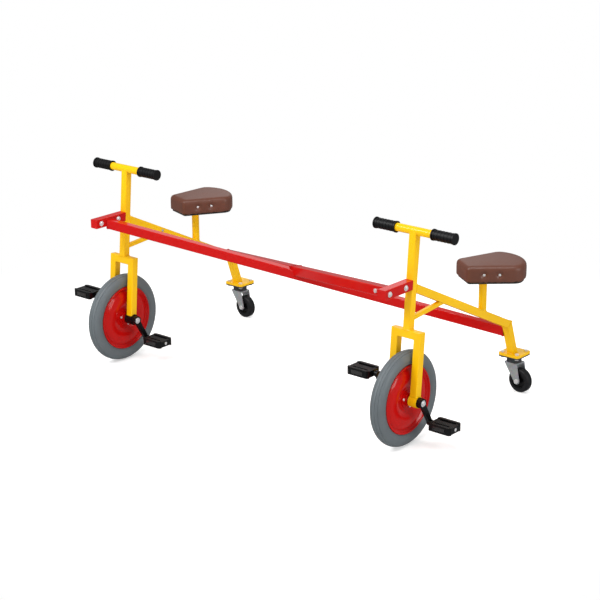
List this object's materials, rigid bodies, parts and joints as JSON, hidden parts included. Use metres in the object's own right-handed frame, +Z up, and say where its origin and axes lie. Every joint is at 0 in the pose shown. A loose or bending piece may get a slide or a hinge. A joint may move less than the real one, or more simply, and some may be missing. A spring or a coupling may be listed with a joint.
{
  "type": "side-by-side tandem bicycle",
  "caption": "Side-by-side tandem for children: pedal-driven front wheels, raked columns with T-bars, turning saddles and swivel casters, held abreast by a red cross of tube.",
  "frame": {"origin": "on the floor below the middle of the whole vehicle", "axes": "+X forward, +Y to the riders' left across the pair, +Z up"},
  "size_m": [0.7764, 1.51, 0.6711],
  "materials": {
    "yellow_paint": "glossy powder coat",
    "red_paint": "glossy powder coat",
    "grey_tyre": "matt solid rubber",
    "dark_tyre": "matt rubber",
    "black_rubber": "soft matt rubber",
    "black_plastic": "moulded, lightly grained",
    "brown_vinyl": "grained vinyl over foam",
    "bright_steel": "bright plated",
    "zinc_steel": "zinc plated sheet"
  },
  "bodies": {
    "frame": {"cross_bolt": "bright_steel", "cross_front": "red_paint", "cross_rear": "red_paint", "cross_whole": "red_paint", "l_column": "yellow_paint", "l_stub": "yellow_paint", "l_handlebar": "yellow_paint", "l_grips": "black_rubber", "l_beam": "yellow_paint", "l_leg": "yellow_paint", "l_brace": "yellow_paint", "l_fork_crown": "yellow_paint", "l_fork_legs": "yellow_paint", "l_bearings": "yellow_paint", "l_seat_base": "black_plastic", "l_seat_cushion": "brown_vinyl", "l_seat_post": "yellow_paint", "l_bracket": "red_paint", "l_bracket_bolts": "bright_steel", "l_caster_plate": "yellow_paint", "l_caster_head": "zinc_steel", "l_caster_bolts": "bright_steel", "r_column": "yellow_paint", "r_stub": "yellow_paint", "r_handlebar": "yellow_paint", "r_grips": "black_rubber", "r_beam": "yellow_paint", "r_leg": "yellow_paint", "r_brace": "yellow_paint", "r_fork_crown": "yellow_paint", "r_fork_legs": "yellow_paint", "r_bearings": "black_plastic", "r_seat_base": "black_plastic", "r_seat_cushion": "brown_vinyl", "r_seat_post": "yellow_paint", "r_bracket": "red_paint", "r_bracket_bolts": "bright_steel", "r_caster_plate": "yellow_paint", "r_caster_head": "zinc_steel", "r_caster_bolts": "bright_steel"},
    "l_wheel": {"l_tyre": "grey_tyre", "l_disc": "red_paint", "l_axle": "bright_steel", "l_cranks": "black_plastic"},
    "l_pedal_left": {"l_pedal_left": "black_plastic"},
    "l_pedal_right": {"l_pedal_right": "black_plastic"},
    "l_caster": {"l_caster_fork": "zinc_steel", "l_caster_axle": "bright_steel"},
    "l_caster_wheel": {"l_caster_tyre": "dark_tyre", "l_caster_hub": "black_plastic"},
    "r_wheel": {"r_tyre": "grey_tyre", "r_disc": "red_paint", "r_axle": "bright_steel", "r_cranks": "black_plastic"},
    "r_pedal_left": {"r_pedal_left": "black_plastic"},
    "r_pedal_right": {"r_pedal_right": "black_plastic"},
    "r_caster": {"r_caster_fork": "zinc_steel", "r_caster_axle": "bright_steel"},
    "r_caster_wheel": {"r_caster_tyre": "dark_tyre", "r_caster_hub": "black_plastic"}
  },
  "joints": [
    {"name": "l_wheel_spin", "type": "hinge", "parent": "frame", "child": "l_wheel", "pos_m": [0.23975, 0.595, 0.1485], "axis": [0, 1, 0], "continuous": true},
    {"name": "l_pedal_left_spin", "type": "hinge", "parent": "l_wheel", "child": "l_pedal_left", "pos_m": [0.19775, 0.715, 0.07575], "axis": [0, 1, 0], "continuous": true},
    {"name": "l_pedal_right_spin", "type": "hinge", "parent": "l_wheel", "child": "l_pedal_right", "pos_m": [0.28175, 0.475, 0.22125], "axis": [0, 1, 0], "continuous": true},
    {"name": "l_caster_swivel", "type": "hinge", "parent": "frame", "child": "l_caster", "pos_m": [-0.35025, 0.595, 0.0975], "axis": [0, 0, 1], "continuous": true},
    {"name": "l_caster_spin", "type": "hinge", "parent": "l_caster", "child": "l_caster_wheel", "pos_m": [-0.34781, 0.62289, 0.04], "axis": [0.9962, -0.0872, 0], "continuous": true},
    {"name": "r_wheel_spin", "type": "hinge", "parent": "frame", "child": "r_wheel", "pos_m": [0.23975, -0.595, 0.1485], "axis": [0, 1, 0], "continuous": true},
    {"name": "r_pedal_left_spin", "type": "hinge", "parent": "r_wheel", "child": "r_pedal_left", "pos_m": [0.19775, -0.475, 0.07575], "axis": [0, 1, 0], "continuous": true},
    {"name": "r_pedal_right_spin", "type": "hinge", "parent": "r_wheel", "child": "r_pedal_right", "pos_m": [0.28175, -0.715, 0.22125], "axis": [0, 1, 0], "continuous": true},
    {"name": "r_caster_swivel", "type": "hinge", "parent": "frame", "child": "r_caster", "pos_m": [-0.35025, -0.595, 0.0975], "axis": [0, 0, 1], "continuous": true},
    {"name": "r_caster_spin", "type": "hinge", "parent": "r_caster", "child": "r_caster_wheel", "pos_m": [-0.34781, -0.56711, 0.04], "axis": [0.9962, -0.0872, 0], "continuous": true}
  ]
}
